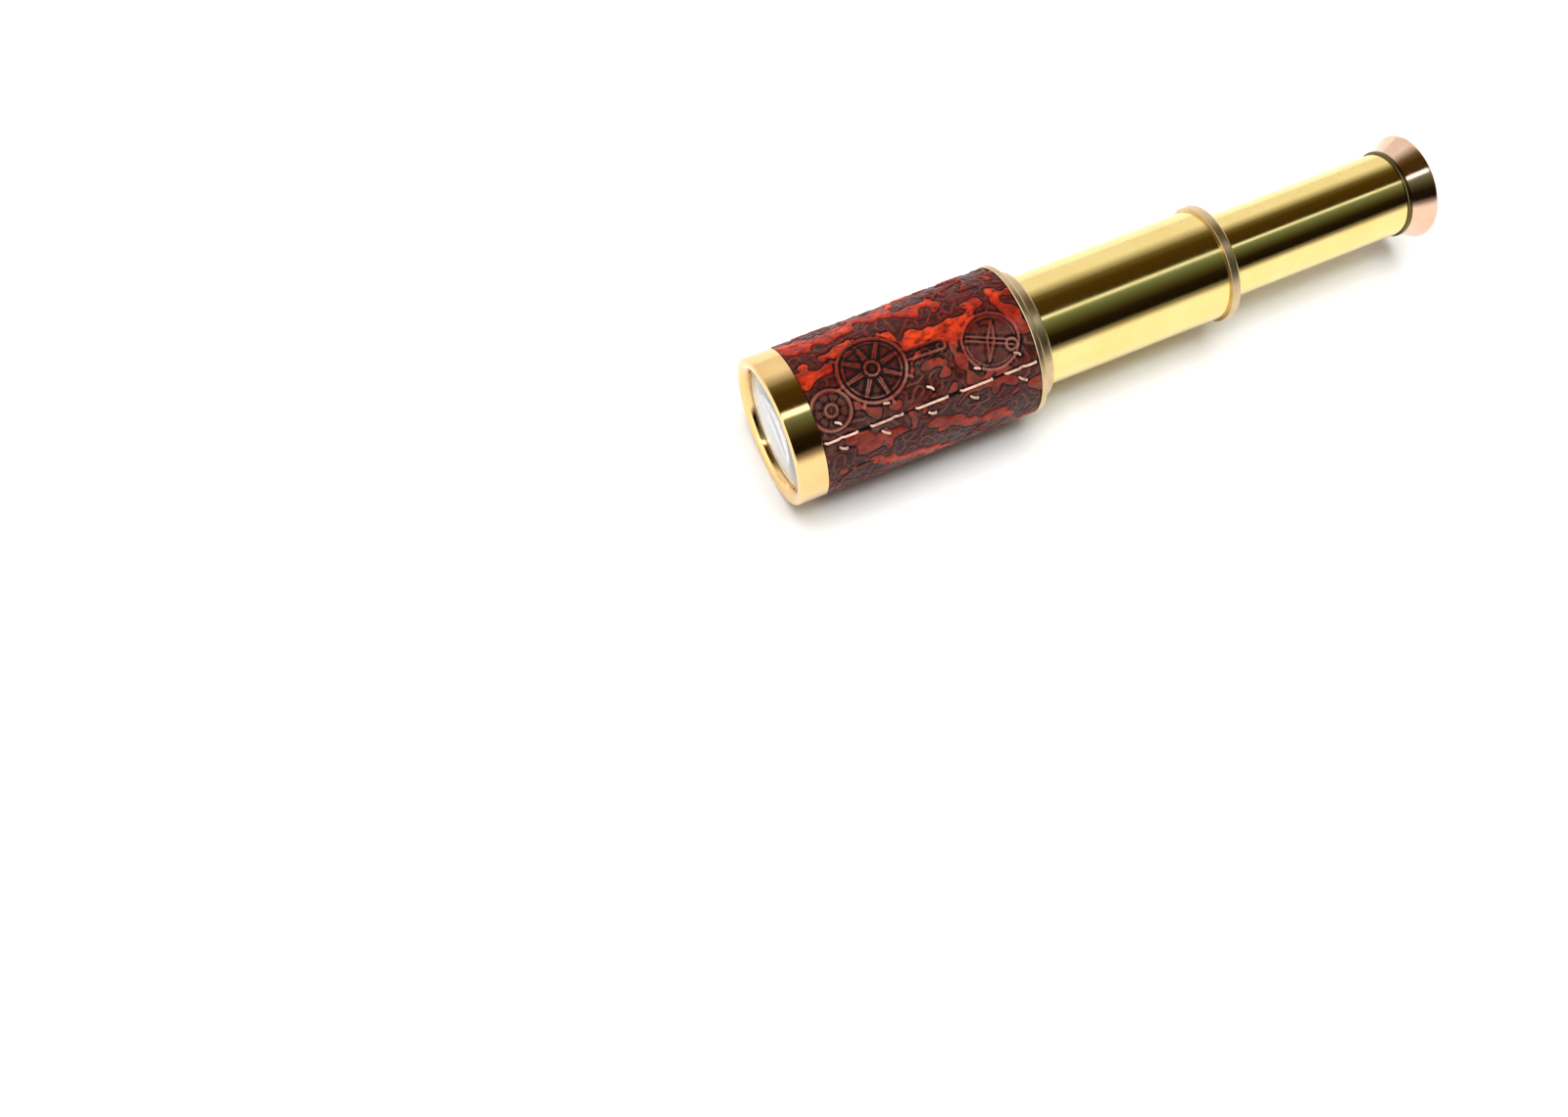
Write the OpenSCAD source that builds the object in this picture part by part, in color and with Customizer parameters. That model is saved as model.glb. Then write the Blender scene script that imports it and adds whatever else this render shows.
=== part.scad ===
// Pocket spyglass with two draw tubes, lying on its side and pulled out to full length.
// The optical axis is the X axis. The objective looks towards -X and the eye is at +X.
// The origin is on the optical axis, in the middle of the bezel's band.
// Distances called "station" are measured along the axis from the front rim of the bezel.

/* [Overall] */
// Length of the instrument with both draws pulled out
extended_length = 152.4; // [152:0.1:153]
// Diameter over the leather wrap
wrap_diameter = 32.3; // [32:0.1:33]

/* [Objective] */
// Outer diameter of the bezel's band
bezel_diameter = 31.8; // [31.6:0.1:32]
// Length of the bezel along the axis
bezel_length = 6.4; // [6.3:0.1:7]
// Radius of curvature of the front glass surface
objective_front_curve = 68; // [60:1:120]
// Radius of curvature of the cemented surface between the two glasses
objective_inner_curve = 62; // [55:1:120]
// Radius of curvature of the rear glass surface
objective_rear_curve = 200; // [150:5:400]

/* [Barrel] */
// Outer diameter of the barrel tube under the wrap
barrel_diameter = 30; // [29.8:0.1:30.2]
// Wall thickness of the barrel tube
barrel_wall = 1.6; // [1.4:0.1:1.6]
// Wall thickness at its mouth, which is bored out for the objective's cell
mouth_wall = 1.4; // [1.3:0.05:1.4]
// Station where the wrap ends and the end ring's band begins
wrap_end = 54.1; // [53:0.1:55]
// Length of the end ring's band
end_band_length = 1.4; // [1.2:0.1:1.6]
// Diameter of the end ring's lip
end_lip_diameter = 27.4; // [26:0.1:28]
// Length of the end ring's lip
end_lip_length = 2.7; // [2.4:0.1:2.9]

/* [Leather wrap] */
// Angle of the lacing, from the top of the barrel towards -Y
seam_angle = 52; // [0:1:90]
// Number of bars of lace along the seam
lace_count = 5; // [2:1:5]
// Distance between one bar and the next
lace_pitch = 9.9; // [9:0.1:9.9]
// Length of each lengthwise bar of lace
lace_bar_length = 7.1; // [5:0.1:7.2]
// Thickness of the lace
lace_diameter = 0.6; // [0.5:0.05:0.8]

/* [Draws] */
// Outer diameter of the first draw's tube
draw_1_diameter = 23.9; // [23.8:0.05:24]
// Outer diameter of the second draw's tube
draw_2_diameter = 18.2; // [18.1:0.05:18.3]
// Wall thickness of the first draw's tube
draw_1_wall = 0.35; // [0.3:0.05:0.5]
// Wall thickness of the second draw's tube
draw_2_wall = 0.35; // [0.3:0.05:0.4]
// Station of the front face of the first draw's collar
collar_start = 100.8; // [100.6:0.1:101]
// Length of the first draw's collar
collar_length = 2.1; // [2:0.1:2.4]
// Diameter of the first draw's collar
collar_diameter = 25.4; // [25:0.1:26]

/* [Eyepiece] */
// Station of the front face of the ring between the second draw and the eyecup
base_ring_start = 146.4; // [146:0.1:146.6]
// Length of that ring
base_ring_length = 0.9; // [0.9:0.1:1.2]
// Diameter of that ring
base_ring_diameter = 19.1; // [19:0.1:19.6]
// Diameter of the eyecup at its foot
eyecup_foot_diameter = 18.9; // [18.6:0.1:19.2]
// Diameter of the eyecup at its rim
eyecup_rim_diameter = 22.7; // [22.4:0.1:24]
// Diameter of the hole that the eye looks through
eye_hole_diameter = 10; // [9:0.1:10.4]

/* [Fits] */
// Radial clearance where a part slides or turns in another
running_gap = 0.05; // [0.03:0.01:0.08]
// Radial gap between parts that are screwed, pressed or glued together
seat_gap = 0.02; // [0.01:0.01:0.03]
// Gap left between a closed draw's shoulder and the ring that it closes on
closed_gap = 0.2; // [0.1:0.05:0.3]

/* [Hidden] */
$fn = 96;

// Colours
brass = "#c9a350";
rosy_brass = "#c79a76";
black_brass = "#2b2722";
leather_brown = "#7d2414";
thread_pink = "#e2b9a5";
felt_green = "#3c3a2c";
glass_clear = "#dfeaf0";

// Shapes shared by several parts
eps = 0.01;
arc_steps = 8;
edge_break = 0.15;
slot_width = 1.6;
slot_depth = 0.6;
dome_steps = 16;
cut_past = 1;

// Bezel and objective
lens_seat = 2.0;
nose_radius = 0.7;
rim_flat = 0.35;
bezel_opening = 12.85;
crown_edge = 0.9;
flint_middle = 0.9;
cell_wall = 0.43;
cell_length = 4.3;
seat_clear = 0.1;
barrel_radius = barrel_diameter / 2;
barrel_bore = barrel_radius - barrel_wall;
mouth_bore = barrel_radius - mouth_wall;
objective_radius = mouth_bore - cell_wall - seat_gap;
crown_front = lens_seat + seat_clear;
inner_sag = sag(objective_inner_curve, objective_radius);
rear_sag = sag(objective_rear_curve, objective_radius);
flint_edge = flint_middle + inner_sag - rear_sag;
objective_rear = crown_front + crown_edge + flint_edge;
cell_end = lens_seat + cell_length;
retainer_length = 1;
retainer_bore = 12.3;
retainer_start = objective_rear + rise(objective_rear_curve, objective_radius, retainer_bore);
origin_station = (nose_radius + bezel_length - edge_break) / 2;

// Barrel
wrap_radius = wrap_diameter / 2;
wrap_edge = 0.35;
slit_width = 0.25;
band_step = 0.05;
band_radius = wrap_radius - band_step;
band_end = wrap_end + end_band_length;
lip_end = band_end + end_lip_length;
bush_length = 2.3;
bush_start = wrap_end - bush_length;
lip_round = 0.5;

// Lacing
lace_radius = lace_diameter / 2;
lace_sink = 0.05;
lace_margin = 4;
lace_first = bezel_length + lace_margin;
lace_side = 3.1;
lace_tie_length = 1.5;
lace_tie_lean = 0.6;
lace_tie_slant = 22;
lace_gap = 0.03;

// First draw
draw_1_radius = draw_1_diameter / 2;
draw_1_bore = draw_1_radius - draw_1_wall;
liner_1_thickness = 0.72;
liner_2_thickness = 1.5;
liner_lip = 0.9;
stop_1_length = 2;
stop_2_length = 1.2;
draw_1_stop_end = bush_start - closed_gap;
draw_1_start = draw_1_stop_end - stop_1_length;
glare_stop_bore = 9.5;
glare_stop_length = 0.8;
collar_end = collar_start + collar_length;
collar_radius = collar_diameter / 2;
collar_bush_length = 3.3;
collar_bush_start = collar_start - collar_bush_length;
collar_round = 0.55;

// Second draw
draw_2_radius = draw_2_diameter / 2;
draw_2_bore = draw_2_radius - draw_2_wall;
draw_2_stop_end = collar_bush_start - closed_gap;
draw_2_start = draw_2_stop_end - stop_2_length;

// Erecting lenses
inner_cell_wall = 0.5;
inner_cell_radius = draw_2_bore - seat_gap;
inner_cell_bore = inner_cell_radius - inner_cell_wall;
small_lens_radius = inner_cell_bore - seat_gap;
small_lens_edge = 0.8;
small_lens_curve = 22;
spacer_bore = 7.3;
dome_rise = rise(small_lens_curve, small_lens_radius, spacer_bore);
cell_lip_length = 0.8;
cell_lip_bore = 6.8;
erector_setback = 0.4;
erector_start = draw_2_start + erector_setback;
erector_length = 14.6;
erector_seat = erector_start + cell_lip_length;
erector_spacer_start = erector_seat + small_lens_edge;
erector_spacer_length = 8.4;
aperture_bore = 2.4;
aperture_thickness = 0.5;
erector_rear_seat = erector_spacer_start + erector_spacer_length;
erector_retainer_start = erector_rear_seat + small_lens_edge;
small_retainer_length = 1.4;

// Eyepiece
eyepiece_length = 17.4;
eyepiece_start = base_ring_start - eyepiece_length;
eyepiece_seat = eyepiece_start + cell_lip_length;
front_spacer_start = eyepiece_seat + small_lens_edge;
front_spacer_length = 3.6;
field_stop_start = front_spacer_start + front_spacer_length;
field_stop_thickness = 0.5;
field_stop_bore = 5.4;
rear_spacer_start = field_stop_start + field_stop_thickness;
rear_spacer_length = 7;
eye_lens_seat = rear_spacer_start + rear_spacer_length;
spigot_start = eye_lens_seat + small_lens_edge;
spigot_radius = inner_cell_bore - seat_gap;
spigot_bore = 7.2;
eyecup_start = base_ring_start + base_ring_length;
eye_hole_radius = eye_hole_diameter / 2;
eyecup_foot = eyecup_foot_diameter / 2;
eyecup_rim = eyecup_rim_diameter / 2;
eyecup_web = 0.8;
eyecup_floor = eyecup_start + eyecup_web;
eyecup_lip = 0.4;
bell_wall = 0.6;
bell_inner_rim = eyecup_rim - bell_wall;
bell_steps = 10;
bell_power = 1.5;
hollow_power = 3.5;
eye_hole_edge = 0.6;

// Height of a spherical surface between its middle and a circle of radius r
function sag(curve, r) = curve - sqrt(curve * curve - r * r);

// How far a dome with an edge at radius r stands above that edge where a ring of radius bore bears on it
function rise(curve, r, bore) = sag(curve, r) - sag(curve, bore);

// Points along an arc, from angle a to angle b
function arc(centre, r, a, b, steps = arc_steps) =
    [for (i = [0 : steps]) let (t = a + (b - a) * i / steps) centre + r * [cos(t), sin(t)]];

// Turns an outline of [radius, station] points about the optical axis
module lathe(outline) {
    rotate([0, 90, 0])
        translate([0, 0, -origin_station])
            rotate_extrude()
                polygon(outline);
}

// A plain round part with a wall from radius inner to radius outer
module ring(inner, outer, start, end) {
    lathe([[inner, start], [outer, start], [outer, end], [inner, end]]);
}

// Spherical cap outline points, from the rim at radius r to the axis
function dome(curve, r, station, steps = dome_steps) =
    [for (i = [0 : steps]) let (x = r * (1 - i / steps)) [x, station + sag(curve, r) - sag(curve, x)]];

// Same cap with its middle pointing forwards
function dome_forward(curve, r, station, steps = dome_steps) =
    [for (i = [0 : steps]) let (x = r * (1 - i / steps)) [x, station - sag(curve, r) + sag(curve, x)]];

function reversed(list) = [for (i = [len(list) - 1 : -1 : 0]) list[i]];

// A pair of slots across the face of a retaining ring, for the spanner
module spanner_slots(station, reach) {
    translate([station - slot_depth - origin_station, -slot_width / 2, -reach])
        cube([slot_depth + eps, slot_width, 2 * reach]);
}

// Objective
module objective_bezel() {
    outer = bezel_diameter / 2;
    bore = barrel_radius + seat_gap;
    inner_rim = outer - nose_radius - rim_flat;
    funnel = inner_rim - bezel_opening;
    nose = arc([outer - nose_radius, nose_radius], nose_radius, 0, -90);
    hollow = arc([inner_rim, funnel], funnel, 270, 180);
    color(brass)
        lathe(concat(
            [[bezel_opening, lens_seat], [bore, lens_seat], [bore, bezel_length],
             [outer - edge_break, bezel_length], [outer, bezel_length - edge_break]],
            nose, hollow));
}

module objective_crown_lens() {
    color(glass_clear, 0.5)
        lathe(concat(
            dome_forward(objective_front_curve, objective_radius, crown_front),
            reversed(dome(objective_inner_curve, objective_radius, crown_front + crown_edge))));
}

module objective_flint_lens() {
    front = crown_front + crown_edge;
    color(glass_clear, 0.5)
        lathe(concat(
            dome(objective_inner_curve, objective_radius, front + eps),
            reversed(dome(objective_rear_curve, objective_radius, front + flint_edge))));
}

module objective_cell() {
    color(black_brass)
        ring(mouth_bore - cell_wall, mouth_bore - seat_gap, lens_seat + seat_gap, cell_end);
}

module objective_retaining_ring() {
    outer = mouth_bore - cell_wall - seat_gap;
    end = retainer_start + retainer_length;
    color(black_brass)
        difference() {
            ring(retainer_bore, outer, retainer_start + eps, end);
            spanner_slots(end, outer + cut_past);
        }
}

// Barrel
module barrel_tube() {
    color(brass)
        lathe([
            [mouth_bore, lens_seat + seat_gap], [barrel_radius, lens_seat + seat_gap],
            [barrel_radius, wrap_end], [barrel_bore, wrap_end],
            [barrel_bore, cell_end + seat_gap], [mouth_bore, cell_end + seat_gap]]);
}

// Moves children from the optical axis to the seam, at a radius and a station
module at_seam(radius, station, along_skin = 0) {
    turn = along_skin / wrap_radius * 180 / PI;
    rotate([seam_angle + turn, 0, 0])
        translate([station - origin_station, 0, radius])
            children();
}

// A round-ended length of lace, centred where it is placed and lying along X
module lace(length, radius) {
    half = length / 2 - lace_radius;
    translate([-half, 0, 0])
        rotate([0, 90, 0])
            cylinder(r = radius, h = 2 * half);
    for (side = [-1, 1])
        translate([side * half, 0, 0])
            sphere(r = radius);
}

// All the lace that shows, made thicker by grow for the holes it lies in
module laces(grow) {
    centre = wrap_radius - lace_sink;
    for (i = [0 : lace_count - 1]) {
        station = lace_first + i * lace_pitch;
        at_seam(centre, station)
            lace(lace_bar_length, lace_radius + grow);
        for (side = [-1, 1])
            at_seam(centre, station - side * lace_tie_lean, side * lace_side)
                rotate([0, 0, side * lace_tie_slant])
                    lace(lace_tie_length, lace_radius + grow);
    }
}

module leather_wrap() {
    inner = barrel_radius + seat_gap;
    start = bezel_length + seat_gap;
    end = wrap_end - seat_gap;
    front_edge = arc([wrap_radius - wrap_edge, start + wrap_edge], wrap_edge, -90, 0);
    rear_edge = arc([wrap_radius - wrap_edge, end - wrap_edge], wrap_edge, 0, 90);
    color(leather_brown)
        difference() {
            lathe(concat([[inner, end], [inner, start]], front_edge, rear_edge));
            rotate([seam_angle, 0, 0])
                translate([0, -slit_width / 2, barrel_radius / 2])
                    cube([extended_length, slit_width, barrel_radius]);
            laces(lace_gap);
        }
}

module seam_lacing() {
    color(thread_pink)
        laces(0);
}

module barrel_end_ring() {
    bore = draw_1_radius + 2 * running_gap;
    groove = bore + liner_1_thickness;
    lip = end_lip_diameter / 2;
    fillet = 0.5;
    color(brass)
        difference() {
            lathe(concat(
                [[bore, bush_start], [barrel_bore - seat_gap, bush_start],
                 [barrel_bore - seat_gap, wrap_end + eps]],
                [[band_radius - edge_break, wrap_end + eps], [band_radius, wrap_end + edge_break]],
                arc([band_radius - lip_round, band_end - lip_round], lip_round, 0, 90),
                reversed(arc([lip + fillet, band_end + fillet], fillet, 180, 270)),
                arc([lip - lip_round, lip_end - lip_round], lip_round, 0, 90),
                [[bore, lip_end]]));
            ring(bore - cut_past, groove, bush_start + liner_lip, lip_end - liner_lip);
        }
}

module friction_liner(tube_radius, thickness, start, end) {
    inner = tube_radius + running_gap;
    outer = tube_radius + running_gap + thickness;
    color(felt_green)
        ring(inner, outer, start + liner_lip + running_gap, end - liner_lip - running_gap);
}

module draw_1_friction_liner() {
    friction_liner(draw_1_radius, liner_1_thickness, bush_start, lip_end);
}

// First draw
module stop_ring(bore, tube_radius, start, length) {
    outer = bore - running_gap;
    color(brass)
        lathe([
            [tube_radius + seat_gap, start], [outer - edge_break, start],
            [outer, start + edge_break], [outer, start + length - edge_break],
            [outer - edge_break, start + length],
            [tube_radius + seat_gap, start + length]]);
}

module draw_1_stop_ring() {
    stop_ring(barrel_bore, draw_1_radius, draw_1_start, stop_1_length);
}

module draw_1_tube() {
    color(brass)
        ring(draw_1_bore, draw_1_radius, draw_1_start, collar_start);
}

module draw_1_glare_stop() {
    color(black_brass)
        ring(glare_stop_bore, draw_1_bore - seat_gap, draw_1_start, draw_1_start + glare_stop_length);
}

module draw_1_collar() {
    bore = draw_2_radius + 2 * running_gap;
    groove = bore + liner_2_thickness;
    front = arc([collar_radius - edge_break, collar_start + edge_break], edge_break, -90, 0);
    rear = arc([collar_radius - collar_round, collar_end - collar_round], collar_round, 0, 90);
    color(brass)
        difference() {
            lathe(concat(
                [[bore, collar_bush_start], [draw_1_bore - seat_gap, collar_bush_start],
                 [draw_1_bore - seat_gap, collar_start + eps]],
                front, rear, [[bore, collar_end]]));
            ring(bore - cut_past, groove, collar_bush_start + liner_lip, collar_end - liner_lip);
        }
}

module draw_2_friction_liner() {
    friction_liner(draw_2_radius, liner_2_thickness, collar_bush_start, collar_end);
}

// Second draw
module draw_2_stop_ring() {
    stop_ring(draw_1_bore, draw_2_radius, draw_2_start, stop_2_length);
}

module draw_2_tube() {
    color(brass)
        ring(draw_2_bore, draw_2_radius, draw_2_start, base_ring_start);
}

// A blackened tube that holds small lenses, with a lip at its front end
module small_cell(start, end) {
    color(black_brass)
        lathe([
            [cell_lip_bore, start], [inner_cell_radius, start], [inner_cell_radius, end],
            [inner_cell_bore, end], [inner_cell_bore, start + cell_lip_length],
            [cell_lip_bore, start + cell_lip_length]]);
}

// A plano-convex lens with its flat side at the front
module lens_flat_front(seat) {
    color(glass_clear, 0.5)
        lathe(concat(
            [[0, seat + eps], [small_lens_radius, seat + eps]],
            dome(small_lens_curve, small_lens_radius, seat + small_lens_edge)));
}

// A plano-convex lens with its flat side at the back
module lens_flat_back(seat) {
    color(glass_clear, 0.5)
        lathe(concat(
            [[0, seat + small_lens_edge], [small_lens_radius, seat + small_lens_edge]],
            dome_forward(small_lens_curve, small_lens_radius, seat + eps)));
}

module erector_cell() {
    small_cell(erector_start, erector_start + erector_length);
}

module erector_front_lens() {
    lens_flat_front(erector_seat);
}

module erector_spacer() {
    start = erector_spacer_start + dome_rise + eps;
    end = erector_rear_seat - dome_rise;
    middle = (start + end) / 2;
    color(black_brass)
        lathe([
            [spacer_bore, start], [small_lens_radius, start], [small_lens_radius, end],
            [spacer_bore, end], [spacer_bore, middle + aperture_thickness / 2],
            [aperture_bore, middle + aperture_thickness / 2],
            [aperture_bore, middle - aperture_thickness / 2],
            [spacer_bore, middle - aperture_thickness / 2]]);
}

module erector_rear_lens() {
    lens_flat_back(erector_rear_seat);
}

module erector_retaining_ring() {
    end = erector_retainer_start + small_retainer_length;
    color(black_brass)
        difference() {
            ring(cell_lip_bore, small_lens_radius, erector_retainer_start + eps, end);
            spanner_slots(end, small_lens_radius + cut_past);
        }
}

module eyepiece_cell() {
    small_cell(eyepiece_start, base_ring_start);
}

module field_lens() {
    lens_flat_front(eyepiece_seat);
}

module eyepiece_front_spacer() {
    color(black_brass)
        ring(spacer_bore, small_lens_radius, front_spacer_start + dome_rise + eps, field_stop_start);
}

module field_stop() {
    color(black_brass)
        ring(field_stop_bore, small_lens_radius, field_stop_start + eps, rear_spacer_start);
}

module eyepiece_rear_spacer() {
    color(black_brass)
        ring(spacer_bore, small_lens_radius, rear_spacer_start + eps, eye_lens_seat - dome_rise);
}

module eye_lens() {
    lens_flat_back(eye_lens_seat);
}

module eyepiece_base_ring() {
    outer = base_ring_diameter / 2;
    color(black_brass)
        lathe([
            [spigot_radius + seat_gap, base_ring_start + eps],
            [outer - edge_break, base_ring_start + eps],
            [outer, base_ring_start + edge_break], [outer, eyecup_start - edge_break],
            [outer - edge_break, eyecup_start], [spigot_radius + seat_gap, eyecup_start]]);
}

// Flared bell: the outside runs from the foot to the rim, the inside from the rim to the eye hole
module eyecup() {
    flare_end = extended_length - 2 * eyecup_lip;
    outside = [for (i = [0 : bell_steps]) let (t = i / bell_steps)
        [eyecup_foot + (eyecup_rim - eyecup_foot) * pow(t, bell_power),
         eyecup_start + eps + (flare_end - eyecup_start) * t]];
    lip = arc([eyecup_rim - eyecup_lip, extended_length - eyecup_lip], eyecup_lip, 0, 90);
    hole_edge = eye_hole_radius + eye_hole_edge;
    inside = [for (i = [0 : bell_steps]) let (t = 1 - i / bell_steps)
        [hole_edge + (bell_inner_rim - hole_edge) * t,
         eyecup_floor + (extended_length - eyecup_lip / 2 - eyecup_floor) * pow(t, hollow_power)]];
    color(rosy_brass)
        lathe(concat(
            [[spigot_bore, eyecup_start], [spigot_bore, spigot_start + eps],
             [spigot_radius, spigot_start + eps], [spigot_radius, eyecup_start + eps]],
            outside, lip, inside,
            [[eye_hole_radius, eyecup_floor - eye_hole_edge / 2], [eye_hole_radius, eyecup_start]]));
}

objective_bezel();
objective_crown_lens();
objective_flint_lens();
objective_cell();
objective_retaining_ring();
barrel_tube();
leather_wrap();
seam_lacing();
barrel_end_ring();
draw_1_friction_liner();
draw_1_stop_ring();
draw_1_tube();
draw_1_glare_stop();
draw_1_collar();
draw_2_friction_liner();
draw_2_stop_ring();
draw_2_tube();
erector_cell();
erector_front_lens();
erector_spacer();
erector_rear_lens();
erector_retaining_ring();
eyepiece_cell();
field_lens();
eyepiece_front_spacer();
field_stop();
eyepiece_rear_spacer();
eye_lens();
eyepiece_base_ring();
eyecup();
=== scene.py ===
"""Looks for the pocket telescope: embossed leather, lacing, brass, glass and a banded studio.

Lengths are metres. The optical axis is X, the objective is at -X, and +Z is up.
"""
import math

import bpy
import numpy as np
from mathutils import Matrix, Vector

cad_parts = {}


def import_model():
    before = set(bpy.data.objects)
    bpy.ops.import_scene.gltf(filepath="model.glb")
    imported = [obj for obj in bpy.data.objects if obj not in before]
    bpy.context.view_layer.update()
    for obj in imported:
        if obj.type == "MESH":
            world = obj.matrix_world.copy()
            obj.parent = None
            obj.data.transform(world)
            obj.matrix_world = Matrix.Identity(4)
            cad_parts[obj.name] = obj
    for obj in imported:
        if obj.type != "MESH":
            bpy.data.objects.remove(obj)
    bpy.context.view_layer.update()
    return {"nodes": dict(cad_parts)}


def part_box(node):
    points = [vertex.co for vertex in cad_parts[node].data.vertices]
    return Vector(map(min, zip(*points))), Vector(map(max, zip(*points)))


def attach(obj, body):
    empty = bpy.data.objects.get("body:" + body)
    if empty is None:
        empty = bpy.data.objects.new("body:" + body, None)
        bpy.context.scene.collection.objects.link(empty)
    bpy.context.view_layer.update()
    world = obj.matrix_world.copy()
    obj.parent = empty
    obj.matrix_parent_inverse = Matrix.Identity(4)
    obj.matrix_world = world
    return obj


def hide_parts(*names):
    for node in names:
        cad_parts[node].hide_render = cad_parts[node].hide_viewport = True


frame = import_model()

MM = 0.001
SEED = 11


# ---------------------------------------------------------------- places taken from the frame

def span(node):
    """Where a node starts and ends along the axis."""
    low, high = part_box(node)
    return low.x, high.x


BEZEL_START = span("objective_bezel")[0]
WRAP_START, WRAP_END = span("leather_wrap")
WRAP_RADIUS = abs(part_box("leather_wrap")[0].z)
FLOOR_Z = -WRAP_RADIUS
SEAM_ANGLE = math.radians(52)


# ---------------------------------------------------------------- node helpers

class Shader:
    """Short calls for building one material's node tree."""

    def __init__(self, name):
        self.material = bpy.data.materials.new(name)
        self.material.use_nodes = True
        self.tree = self.material.node_tree
        self.tree.nodes.clear()
        self.bsdf = self.tree.nodes.new("ShaderNodeBsdfPrincipled")
        out = self.tree.nodes.new("ShaderNodeOutputMaterial")
        self.tree.links.new(self.bsdf.outputs[0], out.inputs[0])

    def set(self, **values):
        for name, value in values.items():
            self.bsdf.inputs[name.replace("_", " ")].default_value = value
        return self

    def link(self, source, target):
        self.tree.links.new(source, self.bsdf.inputs[target] if isinstance(target, str) else target)

    def node(self, kind, **settings):
        node = self.tree.nodes.new("ShaderNode" + kind)
        for key, value in settings.items():
            setattr(node, key, value)
        return node

    def place(self, scale):
        """Object coordinates, stretched by scale along X, Y and Z."""
        mapping = self.node("Mapping")
        mapping.inputs["Scale"].default_value = scale
        self.tree.links.new(self.node("TexCoord").outputs["Object"], mapping.inputs["Vector"])
        return mapping.outputs[0]

    def noise(self, place, scale, detail=4.0, rough=0.5):
        node = self.node("TexNoise")
        node.inputs["Scale"].default_value = scale
        node.inputs["Detail"].default_value = detail
        node.inputs["Roughness"].default_value = rough
        self.tree.links.new(place, node.inputs["Vector"])
        return node.outputs["Fac"]

    def ramp(self, factor, stops):
        """stops is a list of (position, grey or colour)."""
        node = self.node("ValToRGB")
        ramp = node.color_ramp
        while len(ramp.elements) < len(stops):
            ramp.elements.new(0.5)
        for element, (position, value) in zip(ramp.elements, stops):
            element.position = position
            grey = not hasattr(value, "__len__")
            element.color = (value, value, value, 1) if grey else (*value, 1)
        self.tree.links.new(factor, node.inputs[0])
        return node.outputs[0]

    def mix(self, factor, a, b, kind="MIX"):
        node = self.node("Mix", data_type="RGBA", blend_type=kind)
        for value, socket in ((factor, 0), (a, 6), (b, 7)):
            if isinstance(value, bpy.types.NodeSocket):
                self.tree.links.new(value, node.inputs[socket])
            elif socket == 0:
                node.inputs[socket].default_value = value
            else:
                node.inputs[socket].default_value = (*value, 1)
        return node.outputs[2]

    def math(self, operation, a, b=0.0):
        node = self.node("Math", operation=operation)
        for value, socket in ((a, 0), (b, 1)):
            if isinstance(value, bpy.types.NodeSocket):
                self.tree.links.new(value, node.inputs[socket])
            else:
                node.inputs[socket].default_value = value
        return node.outputs[0]

    def bump(self, height, distance, strength=1.0):
        node = self.node("Bump")
        node.inputs["Strength"].default_value = strength
        node.inputs["Distance"].default_value = distance
        self.tree.links.new(height, node.inputs["Height"])
        self.link(node.outputs[0], "Normal")


# ---------------------------------------------------------------- materials

def brass_material(name, clean, warm, dull, rough=0.05):
    """Polished brass with drawn lines along the tube, handling marks and a little tarnish."""
    s = Shader(name).set(Metallic=1.0)
    drawn = s.noise(s.place((60, 900, 900)), 1.0, 3)
    cloud = s.noise(s.place((1, 1, 1)), 130, 5, 0.6)
    spots = s.noise(s.place((1, 1, 1)), 900, 3)
    scratches = s.noise(s.place((2400, 300, 300)), 1.0, 2)
    tint = s.mix(s.ramp(cloud, [(0.35, 0.0), (0.7, 1.0)]), clean, warm)
    worn = s.mix(s.ramp(spots, [(0.66, 0.0), (0.78, 0.45)]), tint, dull)
    s.link(worn, "Base Color")
    smear = s.ramp(cloud, [(0.3, rough), (0.75, rough + 0.07)])
    fine = s.ramp(scratches, [(0.45, 0.0), (0.75, 0.05)])
    s.link(s.math("ADD", smear, fine), "Roughness")
    s.bump(s.math("ADD", s.math("MULTIPLY", drawn, 0.3), cloud), 0.0000025)
    return s.material


def black_material(name, colour, worn, metallic=0.6):
    """Blackened metal with the finish worn thin in places."""
    s = Shader(name).set(Metallic=metallic)
    rub = s.noise(s.place((1, 1, 1)), 420, 5, 0.65)
    s.link(s.mix(s.ramp(rub, [(0.52, 0.0), (0.8, 0.8)]), colour, worn), "Base Color")
    s.link(s.ramp(rub, [(0.3, 0.55), (0.8, 0.3)]), "Roughness")
    s.bump(rub, 0.00003)
    return s.material


def glass_material(name, tint):
    """Coated lens glass, with faint dust in its roughness."""
    s = Shader(name).set(Transmission_Weight=1.0, IOR=1.52, Coat_Weight=0.6, Coat_Roughness=0.02)
    s.set(Coat_Tint=(*tint, 1), Base_Color=(0.98, 0.98, 0.98, 1), Sheen_Weight=1.0, Sheen_Roughness=0.3)
    dust = s.noise(s.place((1, 1, 1)), 600, 4, 0.6)
    s.link(s.ramp(dust, [(0.5, 0.02), (0.85, 0.08)]), "Roughness")
    return s.material


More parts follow.
